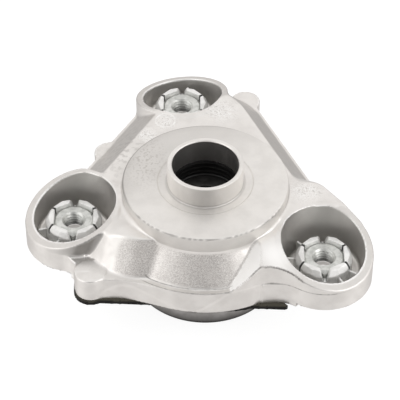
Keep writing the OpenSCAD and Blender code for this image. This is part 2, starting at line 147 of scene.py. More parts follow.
# Housing casting: one aluminium die casting with three lobes round a hub, as it comes from the die.
# It is the zero surface of a distance field, in millimetres, whose solids meet in fillets and round edges.
# It is shown as four meshes, one for each lobe and one for the body, because of its many faces.
def ray(degrees):
    """Unit vector in plan."""
    return np.array([np.cos(np.radians(degrees)), np.sin(np.radians(degrees))])


def reach(x, y, degrees):
    """How far points in plan lie along a direction."""
    return x * ray(degrees)[0] + y * ray(degrees)[1]


def on_line(degrees, distance, step):
    """Point at a distance from the hub axis along a direction, and a step to its left."""
    return distance * ray(degrees) + step * ray(degrees + 90)


def drop(point, degrees, distance):
    """Foot of the perpendicular from a point to the line at a distance from the hub axis."""
    return point + (distance - point @ ray(degrees)) * ray(degrees)


def join(a, b, r):
    """Union of two solids, given by distances, with a hollow fillet of radius r where they meet."""
    u, v = np.maximum(r - a, 0), np.maximum(r - b, 0)
    return np.maximum(r, np.minimum(a, b)) - np.hypot(u, v)


def common(a, b, r):
    """Overlap of two solids, given by distances, with the edge between them rounded to radius r."""
    u, v = np.maximum(r + a, 0), np.maximum(r + b, 0)
    return np.minimum(-r, np.maximum(a, b)) + np.hypot(u, v)


def fade(value, low, high):
    """Smooth step from 0 to 1 as a value goes from low to high."""
    t = np.clip((value - low) / (high - low), 0, 1)
    return t * t * (3 - 2 * t)


def polygon(x, y, corners):
    """Signed distance in plan to a polygon: the least distance to its sides, below zero inside."""
    best = np.full(x.shape, np.inf)
    inside = np.zeros(x.shape, bool)
    for (ax, ay), (bx, by) in zip(corners, np.roll(corners, -1, axis=0)):
        ex, ey, wx, wy = bx - ax, by - ay, x - ax, y - ay
        t = np.clip((wx * ex + wy * ey) / (ex * ex + ey * ey), 0, 1)
        best = np.minimum(best, (wx - t * ex) ** 2 + (wy - t * ey) ** 2)
        turn = ex * wy - ey * wx
        inside ^= ((ay <= y) & (by > y) & (turn > 0)) | ((ay > y) & (by <= y) & (turn < 0))
    return np.where(inside, -1, 1) * np.sqrt(best)


bolts = [m["pos_m"] for m in frame["record"]["mounts"] if m["name"].startswith("bolt_")]
lobes = np.array(bolts)[:, :2] * 1000
lobe_r, pocket_r, floor_t, bolt_r = 21.85, 19.2, 3.4, 5.5
rim_fall, rim_tilt, rim_h = (204, -53, 107), np.radians(20), 19.0
pocket_draft = np.radians(8)
boss_r, rivet_r, skirt_r, web_r = 7.0, 2.65, 50.2, 17.7
plateau_h, flange_h, flange_bottom = 23.4, 10.0, -1.4
left_side, right_side = 150, 24.5
left_line, right_line, front_line = 62.2, 52.7, 41.5
disc_r, roof_h, disc_core_h, hub_skin = 37.0, 19.0, 28.0, 0.03
cone_top, cone_rise, cone_run = 21.8, 11.8, 10.2
chamber_r, seat_r, seat_h, core_r, core_bottom = 32.9, 36.85, 0.2, 20.0, 10
rivet_hole_h, pad_relief, web_corner, wall_way = 6.25, 1.2, (44, -42), 38
# Sloping sides: the way that each faces, its upper edge's distance from the hub axis, and its width in plan
front_slope, flank_slope = (-90, 29.6, 10.7), (197, -13.0, 17.1)
left_slope, right_slope = (left_side, 46.0, 15.0), (right_side, 40.1, 11.4)
left_cove, back_corner = (222, 46.8, 9.6), (56, lobes[2] @ ray(56) + 7.8, 12.4)
shoulder_slope = (83.4, 12.3, 16.0)
bosses = np.array([
    [lobes[0][0] + 8.5, -front_line + boss_r - 1.8],
    on_line(left_side, left_line - 3.2, -12.9),
    on_line(right_side, right_line - 3.2, 62),
])
flange_plan = np.array([
    [bosses[0][0], -front_line], bosses[0], lobes[0], drop(lobes[0], left_side, left_line),
    drop(lobes[2], left_side, left_line), lobes[2], bosses[2], drop(bosses[2], right_side, right_line),
    drop(lobes[1], right_side, right_line), lobes[1], [0, 0], [0, -front_line],
])
boss_web = np.array([bosses[0] - [boss_r, 0], [-57.5, -31.0], [-61.5, -26.5], lobes[0], bosses[0]])
# The web's hollow arc touches the skirt and the right lobe from outside.
span = np.hypot(*lobes[1])
along = ((skirt_r + web_r) ** 2 - (lobe_r + web_r) ** 2 + span ** 2) / (2 * span)
to_lobe = lobes[1] / span
beside = np.sqrt((skirt_r + web_r) ** 2 - along ** 2)
web_centre = along * to_lobe + beside * np.array([to_lobe[1], -to_lobe[0]])


def slope(x, y, z, degrees, edge, run):
    """Distance outside one sloping side, whose edge lies at plateau height and its foot at flange height."""
    rise = plateau_h - flange_h
    away = reach(x, y, degrees) - edge
    return (away * rise - (plateau_h - z) * run) / np.hypot(rise, run)


def casting(x, y, z):
    """Distance field of the casting: flange, sloping body, shoulder, lobes, bosses and hub, less the hollows.

    Each solid is the overlap of planes, cylinders and outlines, and each is joined to the rest with a fillet.
    """
    ring = np.hypot(x, y)
    lobe_d = [np.hypot(x - c[0], y - c[1]) for c in lobes]
    boss_d = [np.hypot(x - b[0], y - b[1]) for b in bosses]

    # Flange, with the web beside the right lobe and its small ledge, and the web at the front left boss
    ledge = 0.45 * (1 - fade(z, flange_h - 0.3, flange_h + 0.3)) * fade(x, 24, 24.6) * (1 - fade(x, 31, 38))
    arch = web_r - np.hypot(x - web_centre[0], y - web_centre[1]) - ledge
    web = np.maximum(polygon(x, y, np.array([[0, 0], web_centre, lobes[1]])), arch)
    skirt_fillet = 0.01 + 7 * fade(-x, 6, 14) * fade(-y, 10, 20)
    plan = np.minimum(join(polygon(x, y, flange_plan), ring - skirt_r, skirt_fillet), web)
    plan = np.minimum(plan, polygon(x, y, boss_web))
    flange = common(plan, np.maximum(z - flange_h, flange_bottom - z), 0.4)

    # Body: a level top between sloping sides, with a plane at the back lobe and one at the left lobe
    nose = join(slope(x, y, z, *front_slope), slope(x, y, z, *flank_slope), 1.5)
    sides = common(slope(x, y, z, *left_slope), slope(x, y, z, *right_slope), 3.0)
    sides = common(sides, nose, 1.5)
    sides = common(sides, slope(x, y, z, *back_corner), 3.0)
    sides = common(sides, slope(x, y, z, *left_cove), 6.0)
    raised = common(common(plan, sides, 0.5), z - plateau_h, 0.7)

    # Shoulder behind the right lobe
    behind = lobes[1] + 21.2 * ray(wall_way)
    far = polygon(x, y, np.array([[0, 0], lobes[1], behind, behind + 50 * ray(wall_way + 90)]))
    wall = np.maximum(reach(x, y, wall_way) - (lobes[1] @ ray(wall_way) + lobe_r - 0.2), far)
    shoulder = common(common(wall, slope(x, y, z, *shoulder_slope), 2.0), z - plateau_h, 1.2)
    body = join(raised, np.maximum(shoulder, -z), 3.0)
    body = join(np.maximum(body, flange_bottom - z), flange, 0.8)

    # Lobes, bosses, and the lobes' rims, which fall away from the hub
    cove = 0.05 + 1.45 * (1 - fade(x, 10, 20) * fade(-y, 24, 30))
    cove = cove + 0.6 * fade(-y, 8, 20) * fade(-x, 20, 40) * fade(z, flange_h + 0.5, flange_h + 4)
    for d in lobe_d:
        body = join(body, np.maximum(common(d - lobe_r, z - plateau_h, 0.8), -z), cove)
    for d in boss_d:
        body = join(body, common(d - boss_r, np.maximum(z - flange_h - 0.4, flange_bottom - z), 0.5), 1.0)
    for c, degrees in zip(lobes, rim_fall):
        away = reach(x - c[0], y - c[1], degrees)
        body = common(body, away * np.sin(rim_tilt) + (z - rim_h) * np.cos(rim_tilt), 0.75)

    # Hub cone, and the disc's core inside the turned hub
    cone = ((ring - disc_r) * cone_rise + (z - cone_top) * cone_run) / np.hypot(cone_rise, cone_run)
    cone = np.maximum(cone, flange_h - 1.5 - z)
    disc = np.maximum(np.maximum(ring - disc_r + hub_skin, z - disc_core_h), flange_bottom - z)
    rear = fade(y, -30, -18)
    body = join(body, join(cone, disc, 1.0 + 1.5 * rear), 0.6 + 1.9 * rear)

    # Hollows: relief under the pads, nut pockets, bolt holes, rivet holes, and the chamber of the bush
    under_web = np.minimum(web_corner[0] - x, web_corner[1] - y)
    for d in lobe_d:
        relief = np.maximum(np.maximum(d - lobe_r - pad_relief, z), under_web)
        pocket = (d - pocket_r + (plateau_h - z) * np.tan(pocket_draft)) * np.cos(pocket_draft)
        body = common(np.maximum(body, -relief), -common(pocket, floor_t - z, 1.5), 0.4)
        body = np.maximum(body, bolt_r - d)
    for d in boss_d:
        body = np.maximum(body, -np.maximum(d - rivet_r, z - rivet_hole_h))
    chamber = np.maximum(ring - chamber_r, z - roof_h)
    chamber = np.minimum(chamber, np.maximum(ring - seat_r, z - seat_h))
    chamber = np.minimum(chamber, np.maximum(ring - core_r, core_bottom - z))

    # Skin, a little uneven and set in, so that it stays inside the part's box
    waves = np.sin(x * 0.9 + 2 * np.sin(y * 0.31)) + np.sin(y * 0.8 + z * 0.7 + 2 * np.sin(x * 0.37))
    return np.maximum(body, -chamber) + 0.05 + 0.012 * waves


def surface(field, low, high, h, rounds=4):
    """Closed mesh of a field's zero surface, with its unit normals.

    Each grid cell that the surface crosses gets one point, the mean of the crossings on the cell's sides,
    and each grid side that the surface crosses gets a four-sided face. The points then move towards the
    mean of their neighbours, and back onto the surface along the field's slope.
    """
    axes = [np.arange(a, b + h, h) for a, b in zip(low, high)]
    f = field(*np.meshgrid(*axes, indexing="ij"))
    shape = np.array(f.shape) - 1
    total, count = np.zeros((*shape, 3)), np.zeros(shape)
    for axis in range(3):
        for i, j in ((0, 0), (0, 1), (1, 0), (1, 1)):
            start = np.zeros(3, int)
            start[(axis + 1) % 3], start[(axis + 2) % 3] = i, j
            end = start + (np.arange(3) == axis)
            a, b = (f[tuple(slice(o, o + n) for o, n in zip(at, shape))] for at in (start, end))
            cross = (a < 0) != (b < 0)
            at = np.broadcast_to(start.astype(float), (*shape, 3)).copy()
            at[..., axis] = np.where(cross, a / np.where(cross, a - b, 1), 0)
            total += np.where(cross[..., None], at, 0)
            count += cross
    live = count > 0
    number = np.full(shape, -1)
    number[live] = np.arange(live.sum())
    points = np.array(low) + (np.argwhere(live) + total[live] / count[live][:, None]) * h
    faces = []
    for axis in range(3):
        p, q = (axis + 1) % 3, (axis + 2) % 3
        near = [slice(1, -1)] * 3
        near[axis] = slice(0, -1)
        far = list(near)
        far[axis] = slice(1, None)
        a, b = f[tuple(near)] < 0, f[tuple(far)] < 0
        at = np.argwhere(a != b)
        flip = a[tuple(at.T)]
        at = at + (np.arange(3) != axis)
        steps = np.zeros((4, 3), int)
        steps[:, p], steps[:, q] = (1, 0, 0, 1), (1, 1, 0, 0)
        quads = np.stack([number[tuple((at - s).T)] for s in steps], 1)
        quads[~flip] = quads[~flip][:, ::-1]
        faces.append(quads)
    faces = np.concatenate(faces)

    def lean(p, e=0.02):
        """Slope of the field by central differences."""
        return np.stack([(field(*(p + d).T) - field(*(p - d).T)) / (2 * e) for d in np.eye(3) * e], 1)

    a, b = faces.ravel(), np.roll(faces, -1, axis=1).ravel()
    n = np.bincount(a, minlength=len(points)) + np.bincount(b, minlength=len(points))
    for step in range(rounds):
        total = [np.bincount(a, p[b], len(points)) + np.bincount(b, p[a], len(points)) for p in points.T]
        points = points + 0.5 * (np.stack(total, 1) / n[:, None] - points)
        for again in range(2):
            g = lean(points)
            pull = field(*points.T)[:, None] * g / np.maximum((g * g).sum(1, keepdims=True), 0.25)
            points = points - np.clip(pull, -0.5 * h, 0.5 * h)
    g = lean(points)
    return points, faces, g / np.linalg.norm(g, axis=1, keepdims=True)


def piece(name, points, faces, normals, material, stands_for, slot):
    """New object, from points in millimetres, four-sided faces and normals, in place of CAD nodes."""
    mesh = bpy.data.meshes.new(name)
    mesh.vertices.add(len(points))
    mesh.vertices.foreach_set("co", (points * 0.001).ravel())
    mesh.loops.add(faces.size)
    mesh.loops.foreach_set("vertex_index", faces.ravel())
    mesh.polygons.add(len(faces))
    mesh.polygons.foreach_set("loop_start", np.arange(0, faces.size, 4))
    mesh.update(calc_edges=True)
    mesh.polygons.foreach_set("use_smooth", np.ones(len(faces), bool))
    mesh.normals_split_custom_set_from_vertices(normals)
    mesh.materials.append(material)
    new = bpy.data.objects.new(name, mesh)
    scene.collection.objects.link(new)
    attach(new, "root")
    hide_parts(*stands_for)
    return new


def store(new, name, values):
    """Keep a value for each point of a piece, for its material."""
    shares = new.data.attributes.new(name, "FLOAT", "POINT")
    shares.data.foreach_set("value", np.asarray(values, np.float32))


def new_finish(name):
    """New material, with its node tree, its shader, and the place on the piece that its patterns read."""
    material = bpy.data.materials.new(name)
    material.use_nodes = True
    tree = material.node_tree
    return material, tree, tree.nodes["Principled BSDF"], add(tree, "ShaderNodeTexCoord").outputs["Object"]


def noise(tree, here, scale, detail):
    """Cloudy pattern from 0 to 1, with that many cells to a metre."""
    made = add(tree, "ShaderNodeTexNoise", None, Vector=here, Scale=scale, Detail=detail, Roughness=0.55)
    return made.outputs["Fac"]


def mix(tree, share, a, b):
    """Colour between a and b, each a socket or the shares of red, green and blue."""
    a, b = (v if isinstance(v, bpy.types.NodeSocket) else (*v, 1) for v in (a, b))
    return add(tree, "ShaderNodeMix", {"data_type": "RGBA"}, Factor=share, i6=a, i7=b).outputs[2]


def kept(tree, name):
    """A value stored on the points."""
    return add(tree, "ShaderNodeAttribute", {"attribute_name": name}).outputs["Fac"]


def line(tree, value, middle, outer, inner):
    """1 where a value lies within inner of the middle, falling to 0 at outer."""
    return lit(tree, times(tree, times(tree, value, middle, "SUBTRACT"), 0, "ABSOLUTE"), outer, inner)


def bumps(tree, height, strength, distance):
    """Normals tilted by a height pattern."""
    made = add(tree, "ShaderNodeBump", None, Strength=strength, Distance=distance, Height=height)
    return made.outputs["Normal"]


cast, tree, shader, here = new_finish("cast_aluminium")
grain = noise(tree, here, 2300, 2)
cloud = noise(tree, here, 110, 5)
spot = noise(tree, here, 420, 4)
fine = noise(tree, here, 1050, 3)
blasted_grain_and_side_light, pitted, painted_highlight_patch = (kept(tree, name) for name in ("blasted_grain_and_side_light", "pitted", "painted_highlight_patch"))
# Light grey, with painted shade, mottled, on the sloping sides and the rims' tops, smudged beside the left
# slope, with rough pits
colour = mix(tree, lit(tree, cloud, 0.35, 0.7), (0.825, 0.806, 0.78), (0.75, 0.73, 0.705))
side_shade = times(tree, kept(tree, "painted_side_shade"), lit(tree, spot, 0.3, 0.7, 0.75, 1.0))
colour = mix(tree, side_shade, colour, (0.62, 0.60, 0.575))
smudge = times(tree, times(tree, kept(tree, "smeared"), 0.55), lit(tree, spot, 0.48, 0.64))
colour = mix(tree, smudge, colour, (0.50, 0.485, 0.46))
colour = mix(tree, times(tree, pitted, lit(tree, fine, 0.42, 0.32, 0.0, 0.6)), colour, (0.50, 0.49, 0.47))
colour = mix(tree, times(tree, pitted, line(tree, fine, 0.5, 0.06, 0.024)), colour, (0.93, 0.925, 0.91))
# Round mark of an ejector pin on the plateau
pin_place, pin_r = (-0.0185, 0.048, 0.0234), 0.0045
spread = add(tree, "ShaderNodeVectorMath", {"operation": "DISTANCE"}, i0=here, i1=pin_place).outputs["Value"]
mark = times(tree, line(tree, spread, pin_r, 0.0005, 0.0002), lit(tree, spot, 0.35, 0.6, 0.9, 0.3))
colour = mix(tree, mark, colour, (0.96, 0.955, 0.94))
# Blasted front's grain, thinned on faces turned to the sides as painted light; painted shade in the pockets,
# bolt holes, hollows and under the left rim, and on the right side; painted highlights on the edges and on
# two patches; and the arch's dark edge
speckle = times(tree, blasted_grain_and_side_light, lit(tree, grain, 0.35, 0.65, 0.1, 0.95))
colour = mix(tree, speckle, colour, (0.50, 0.475, 0.455))
colour = mix(tree, times(tree, kept(tree, "painted_shade"), 0.75), colour, (0.42, 0.41, 0.395))
colour = mix(tree, times(tree, kept(tree, "hollow"), 0.6), colour, (0.26, 0.25, 0.24))
colour = mix(tree, times(tree, kept(tree, "painted_edge_highlight"), painted_highlight_patch, "MAXIMUM"), colour, (0.96, 0.955, 0.94))
arch_dark_line = times(tree, kept(tree, "edge"), lit(tree, fine, 0.3, 0.6, 1.0, 0.6))
colour = mix(tree, arch_dark_line, colour, (0.14, 0.13, 0.12))
# Dark lines where the die's parts met: two rings on the flange. A painted shadow line at the web's parting
# ledge
flat = add(tree, "ShaderNodeVectorMath", {"operation": "MULTIPLY"}, i0=here, i1=(1, 1, 0)).outputs["Vector"]
from_axis = add(tree, "ShaderNodeVectorMath", {"operation": "LENGTH"}, i0=flat).outputs["Value"]
rings = [line(tree, from_axis, r, 0.00035, 0.0001) for r in (0.0474, 0.0498)]
rings = times(tree, kept(tree, "strip"), times(tree, *rings, "MAXIMUM"))
colour = mix(tree, times(tree, rings, lit(tree, spot, 0.35, 0.6, 0.7, 0.35)), colour, (0.16, 0.15, 0.14))
level = add(tree, "ShaderNodeSeparateXYZ", None, Vector=here).outputs["Z"]
seam = times(tree, kept(tree, "seam"), line(tree, level, 0.0102, 0.0004, 0.00015))
colour = mix(tree, times(tree, seam, lit(tree, spot, 0.35, 0.6, 0.75, 0.3)), colour, (0.16, 0.15, 0.14))
relief = times(tree, grain, times(tree, times(tree, blasted_grain_and_side_light, 0.9), 0.3, "ADD"))
relief = times(tree, relief, times(tree, times(tree, pitted, fine), 3.0), "ADD")
# Less metallic where the highlight patches are painted, so that they catch more light
plug(
    tree, shader, Base_Color=colour, Metallic=lit(tree, painted_highlight_patch, 0, 1, 0.92, 0.3),
    Roughness=times(tree, lit(tree, cloud, 0.3, 0.7, 0.33, 0.43), times(tree, blasted_grain_and_side_light, 0.12), "ADD"),
    Normal=bumps(tree, relief, 0.35, 0.0002),
)


def patch(x, y, px, py, rx, ry):
    """Soft round patch in plan: a bell curve about a point with its own width each way."""
    return np.exp(-((x - px) / rx) ** 2 - ((y - py) / ry) ** 2)


def casting_shares(at, out):
    """Share of each finish, painted shade and painted highlight on points of the casting, from 0 to 1, by
    their place and the way they face.
    """
    x, y, z = at.T
    across, up = out[:, 0], out[:, 2]
    lobe_d = np.min([np.hypot(x - c[0], y - c[1]) for c in lobes], axis=0)
    raised = fade(z, 10.3, 11)

    front = fade(-y, 26, 30) * fade(z, 10.2, 11) * (1 - fade(z, 22.5, 23.2)) * fade(up, 0.3, 0.5)
    front = front * fade(x + 0.28 * (plateau_h - z), -38, -35.5) * (1 - fade(x, 22, 30))
    # The grain's share thins on faces turned to the sides, painting them lighter
    blasted_grain_and_side_light = front * (1 - 0.25 * fade(-across, 0.12, 0.4) - 0.75 * fade(across, 0.12, 0.4))
    pits = ((8, 55, 6), (-18, 47, 4), (45, 0, 6), (25, -21, 4), (-27, 38, 4))
    pits = np.max([patch(x, y, px, py, r, r) for px, py, r in pits], axis=0)

    # Painted shade on the sloping sides that face left and right
    left, right = (
        fade(out[:, :2] @ ray(side), 0.5, 0.62) * fade(up, 0.35, 0.5) * raised
        for side in (left_side, right_side)
    )
    rim = fade(lobe_d, 18.2, 19) * (1 - fade(lobe_d, 21.8, 22.4))
    rim = rim * fade(up, 0.6, 0.85) * (1 - fade(z, 22.9, 23.3))
    # Painted shade in the pockets, stronger lower down, and in the bolt holes
    pocket = fade(20.5 - lobe_d, 0, 0.6) * fade(z, 3, 4)
    pocket = pocket * (1 - fade(up, 0.3, 0.6)) * (1 - 0.4 * fade(z, 9, 20))
    hole = fade(6.2 - lobe_d, 0, 0.5)
    # Painted shadow under the left lobe's rim
    under_rim = np.minimum(1.4 * patch(x, y, -50, -26.5, 11, 6.5), 1)
    under_rim = under_rim * fade(out[:, :2] @ ray(-60), 0.22, 0.5) * raised
    # Painted shade where the casting closes in round a point
    shut_in = np.clip(1.4 - 1.4 * casting(*(at + 1.2 * out).T) / 1.2, 0, 1)

    arch = fade(web_r - np.hypot(x - web_centre[0], y - web_centre[1]), -0.95, -0.5)
    arch = arch * fade(up, 0.25, 0.5) * fade(-y, 15, 20) * fade(x, 14, 18) * fade(z, 10.6, 11.2)
    strip = fade(-y, 30, 36) * fade(z, 9, 9.5) * (1 - fade(z, 11, 11.5)) * fade(up, 0.2, 0.5)
    # Painted highlights: a patch on the flank, and one above the arch
    flank = fade(out @ np.array([-0.589, -0.185, 0.786]), 0.95, 0.985) * fade(-y, 28, 32) * fade(x, 6, 10)
    above_arch = 0.9 * patch(x, y, 30, -37, 9, 8) * fade(up, 0.5, 0.8) * fade(z, 12, 14)
    # Painted highlights along the casting's edges
    on_edge = fade(1 + casting(*(at - 0.7 * out).T) / 0.7, 0.12, 0.42)
    by_edge = fade(1 + casting(*(at - 1.2 * out).T) / 1.2, 0.3, 0.7)
    return {
        "blasted_grain_and_side_light": blasted_grain_and_side_light,
        "smeared": patch(x, y, -36, 28, 14, 20),
        "pitted": np.minimum(1.5 * pits, 1) * fade(z, 22.5, 23),
        "painted_side_shade": np.max([left, right, 0.6 * rim * raised], axis=0),
        "painted_shade": np.max([pocket, under_rim, hole, 0.3 * right], axis=0),
        "hollow": np.maximum(shut_in, 0.9 * under_rim),
        "edge": arch,
        "strip": strip * fade(x, -30, -24) * (1 - fade(x, 14, 20)),
        # Painted shadow line at the web's parting ledge
        "seam": fade(x, 24, 25.5) * (1 - fade(x, 50, 66)) * fade(-y, 30, 36) * (1 - fade(up, 0.5, 0.8)),
        "painted_edge_highlight": np.maximum(on_edge, by_edge) * (1 - fade(-y, 38, 39) * (1 - fade(z, 10.5, 11))),
        "painted_highlight_patch": np.maximum(flank, above_arch),
    }


points, faces, normals = surface(casting, (-82.5, -52.5, -2.9), (76.5, 96, 30), 0.58)
lobe_reach = 33
lobe_d = np.stack([np.hypot(points[:, 0] - c[0], points[:, 1] - c[1]) for c in lobes])
owner = np.where(lobe_d.min(0) < lobe_reach, lobe_d.argmin(0), len(lobes))
for k, name in enumerate(("housing_lobe_left", "housing_lobe_right", "housing_lobe_back", "housing_body")):
    used, own = np.unique(faces[owner[faces[:, 0]] == k], return_inverse=True)
    new = piece(name, points[used], own.reshape(-1, 4), normals[used], cast, ["housing"], "cast_aluminium")
    for share_name, share in casting_shares(points[used], normals[used]).items():
        store(new, share_name, share)


# Turned hub: the machined top of the same casting, with the bearing disc, the recess, the neck and its bore.
# One profile swept round the axis, with small dents in the disc's edge. It grows out of the casting.
def arc(centre, radius, start, end, steps):
    """Points of an arc of a profile, angles in degrees."""
    a = np.radians(np.linspace(start, end, steps + 1))
    return np.stack([centre[0] + radius * np.cos(a), centre[1] + radius * np.sin(a)], 1)


def grid(rows, columns):
    """Faces of a grid of points that closes both ways."""
    number = np.arange(rows * columns).reshape(rows, columns)
    right, below = np.roll(number, -1, 1), np.roll(number, -1, 0)
    return np.stack([number, below, np.roll(below, -1, 1), right], 2).reshape(-1, 4)


def sweep(profile, steps):
    """Closed profile of radius and height, swept round the Z axis: a row of points per angle, and faces."""
    profile = np.array(profile, float)
    a = np.linspace(0, 2 * np.pi, steps, endpoint=False)[:, None]
    points = np.stack([profile[:, 0] * np.cos(a), profile[:, 0] * np.sin(a), profile[:, 1] + 0 * a], 2)
    return points, grid(*points.shape[:2])


def facing_out(points, faces):
    """Normals of the points: each is the sum of its faces' normals by area, so that flat faces stay flat."""
    a, b, c, d = (points[faces[:, k]] for k in range(4))
    n = np.cross(c - a, d - b)
    out = np.stack([np.bincount(faces.ravel(), np.repeat(n[:, k], 4), len(points)) for k in range(3)], 1)
    return out / np.maximum(np.linalg.norm(out, axis=1, keepdims=True), 1e-12)


disc_h, recess_h, neck_r, neck_h, bore_r, inside_h = 30.4, 30.0, 16.9, 40.8, 14.8, roof_h + 0.06
profile = [
    (35.5, inside_h), (disc_r, inside_h), (disc_r, 29.2), *arc((disc_r - 0.8, disc_h - 0.8), 0.8, 0, 90, 6),
    (33, disc_h), (28, disc_h), (21.7, disc_h), (21.5, 30.36), (21.15, 30.02), (20.9, recess_h),
    (18.3, recess_h), *arc((neck_r + 0.6, recess_h + 0.6), 0.6, 270, 180, 4), (neck_r, 31.4), (neck_r, 35),
    (neck_r, 39.9), *arc((neck_r - 0.4, neck_h - 0.4), 0.4, 0, 90, 4), (15.7, neck_h),
    *arc((15.4, 40.5), 0.3, 90, 135, 2), *arc((15.1, 40.2), 0.3, 135, 180, 2), (bore_r, 39), (bore_r, 32),
    (bore_r, 28.9), (15.0, 28.7), (15.9, 28.7), (15.9, inside_h), (20, inside_h), (26, inside_h),
]
points, faces = sweep(profile, 360)
turn = np.linspace(0, 2 * np.pi, 360, endpoint=False)
uneven = np.abs(np.sin(41 * turn + 3 * np.sin(7 * turn)) * np.sin(17 * turn))
dent_depth, disc_edge = 0.22, slice(3, 10)
dent = dent_depth * uneven * fade(-np.sin(turn), 0.1, 0.5)
points[:, disc_edge, :2] *= (1 - dent / disc_r)[:, None, None]
points = points.reshape(-1, 3)
normals = facing_out(points, faces)

machined, tree, shader, here = new_finish("turned_aluminium")
grain = noise(tree, here, 2300, 2)
cloud = noise(tree, here, 130, 5)
spot = noise(tree, here, 850, 4)
upright = kept(tree, "upright")
colour = mix(tree, lit(tree, cloud, 0.35, 0.7), (0.83, 0.812, 0.785), (0.78, 0.763, 0.737))
# Painted shade on the disc's back left, a painted highlight on the neck's sides, and painted shade on the
# neck's front, in its bore and at the disc's edges
colour = mix(tree, kept(tree, "shaded"), colour, (0.66, 0.643, 0.62))
colour = mix(tree, kept(tree, "painted_neck_highlight"), colour, (0.97, 0.95, 0.92))
colour = mix(tree, upright, colour, (0.52, 0.505, 0.49))
colour = mix(tree, kept(tree, "rim"), colour, (0.2, 0.19, 0.18))
smudge = times(tree, times(tree, kept(tree, "smeared"), 0.75), lit(tree, spot, 0.52, 0.60))
plug(
    tree, shader, Base_Color=mix(tree, smudge, colour, (0.50, 0.475, 0.445)), Metallic=0.92,
    Roughness=times(tree, lit(tree, cloud, 0.3, 0.7, 0.46, 0.55), times(tree, upright, -0.14), "ADD"),
    Normal=bumps(tree, grain, 0.15, 0.0002),
)

hub = piece("housing_hub", points, faces, normals, machined, ["housing"], "cast_aluminium")
x, y, z = points.T
up, from_axis = normals[:, 2], np.hypot(x, y)
wall = fade(1 - np.abs(up), 0.5, 0.8)
neck_side = fade(from_axis, 16, 16.4) * (1 - fade(from_axis, 17, 18))
neck_front = np.where(from_axis < 16, 1.0, 0.65 * fade(-y / from_axis, 0.35, 0.95))
store(hub, "smeared", patch(x, y, -27, 14, 7, 15))
# Painted shade on the disc's back left, and on the neck's front and in its bore; a painted highlight on the
# neck's left and right sides
store(hub, "shaded", 0.75 * fade(-0.6 * x + 0.8 * y, -5, 25) * fade(z, 29, 30) * fade(from_axis, 16.95, 17.8))
store(hub, "upright", wall * (1 - fade(from_axis, 20, 22)) * neck_front)
store(hub, "painted_neck_highlight", wall * neck_side * fade(np.abs(x) / from_axis, 0.5, 0.9) * np.where(x < 0, 1.0, 0.5))
# Painted shade: a shadow line on the disc's edge at the back left, a little on its front wall, and at the
# neck's foot; and dark specks along its dented front edge
specks = np.repeat(np.abs(np.sin(29 * turn + 2 * np.sin(11 * turn))), len(profile))
rounded = fade(up, 0.05, 0.3)
store(hub, "rim", np.max([
    0.6 * fade(from_axis, 36.1, 36.5) * rounded * fade(-0.7 * x + 0.7 * y, 5, 25),
    0.55 * specks * fade(from_axis, 36.2, 36.6) * rounded * (1 - fade(up, 0.75, 0.95)) * fade(-y, 14, 24),
    0.13 * fade(from_axis, 35.8, 36.0) * fade(1 - np.abs(up), 0.6, 0.9) * fade(-y, 20, 30),
    0.3 * fade(17.8 - from_axis, 0, 0.3) * fade(31.0 - z, 0, 0.4) * fade(from_axis, 16.4, 16.8),
], axis=0))


# Nut cages: three zinc castings, each a ring with a hexagonal pocket, six bevelled fingers and thin fins.
# Each is the zero surface of a distance field with its edges rounded a little.
# It stands loose in its pocket, centred by the fins.
zinc, tree, shader, here = new_finish("cage_metal")
grain = noise(tree, here, 1800, 2)
cloud = noise(tree, here, 260, 4)
colour = mix(tree, lit(tree, cloud, 0.35, 0.7), (0.91, 0.91, 0.895), (0.79, 0.79, 0.775))
# Painted shade in the cage's crevices
plug(
    tree, shader, Base_Color=mix(tree, kept(tree, "hollow"), colour, (0.1, 0.1, 0.097)), Metallic=0.6,
    Roughness=lit(tree, cloud, 0.3, 0.7, 0.4, 0.55), Normal=bumps(tree, grain, 0.2, 0.0002),
)

cage_r, cage_top, cage_reach, slot_floor = 12.6, 13.5, 16.28, 8.4
bevel_w, bevel_h = 1.7, 2.6
slot_half, notch_half, notch_spread = 0.45, 0.8, 0.255
fin_half, fin_top, fin_root, cage_flats = 0.5, 9.4, 11.6, 8.65
fins = ((195, 240, 300), (-60, -30, 134, 175), (80, 240, 300))
for name, c, angles in zip(("left", "right", "back"), lobes, fins):
    def cage(x, y, z):
        """Distance field of one cage: bevelled ring with fins, less its hexagon, slots and two notches."""
        u, v = x - c[0], y - c[1]
        hexagon = np.max([reach(u, v, k) for k in range(0, 360, 60)], axis=0) - cage_flats
        facet = np.max([reach(u, v, k) for k in range(15, 360, 30)], axis=0)
        bevel = ((facet - cage_r) * bevel_h + (z - cage_top + bevel_h) * bevel_w) / np.hypot(bevel_h, bevel_w)
        block = common(common(np.hypot(u, v) - cage_r, z - cage_top, 0.25), bevel, 0.2)
        block = common(block, -hexagon, 0.2)
        for k in range(30, 360, 60):
            forward, aside = reach(u, v, k), np.abs(reach(u, v, k + 90))
            half = notch_half + (z - slot_floor) * notch_spread if k in (90, 270) else slot_half
            gap = np.maximum(np.maximum((aside - half) * 0.97, slot_floor - z), -forward)
            block = common(block, -gap, 0.2)
        for k in angles:
            forward, aside = reach(u, v, k), np.abs(reach(u, v, k + 90))
            fin = common(aside - fin_half, forward - cage_reach, 0.2)
            fin = common(fin, np.maximum(z - fin_top, fin_root - forward), 0.2)
            block = join(block, fin, 0.4)
        return np.maximum(block, floor_t + 0.02 - z)

    low, high = [*(c - 17.5), floor_t - 1.1], [*(c + 17.5), cage_top + 1]
    points, faces, normals = surface(cage, low, high, 0.33, 3)
    new = piece("nut_cage_" + name, points, faces, normals, zinc, ["nut_cage_" + name], "cage_metal")
    # Painted shade where the cage closes in round a point
    store(new, "hollow", 0.85 * np.clip(1.4 - 1.4 * cage(*(points + 0.7 * normals).T) / 0.7, 0, 1))


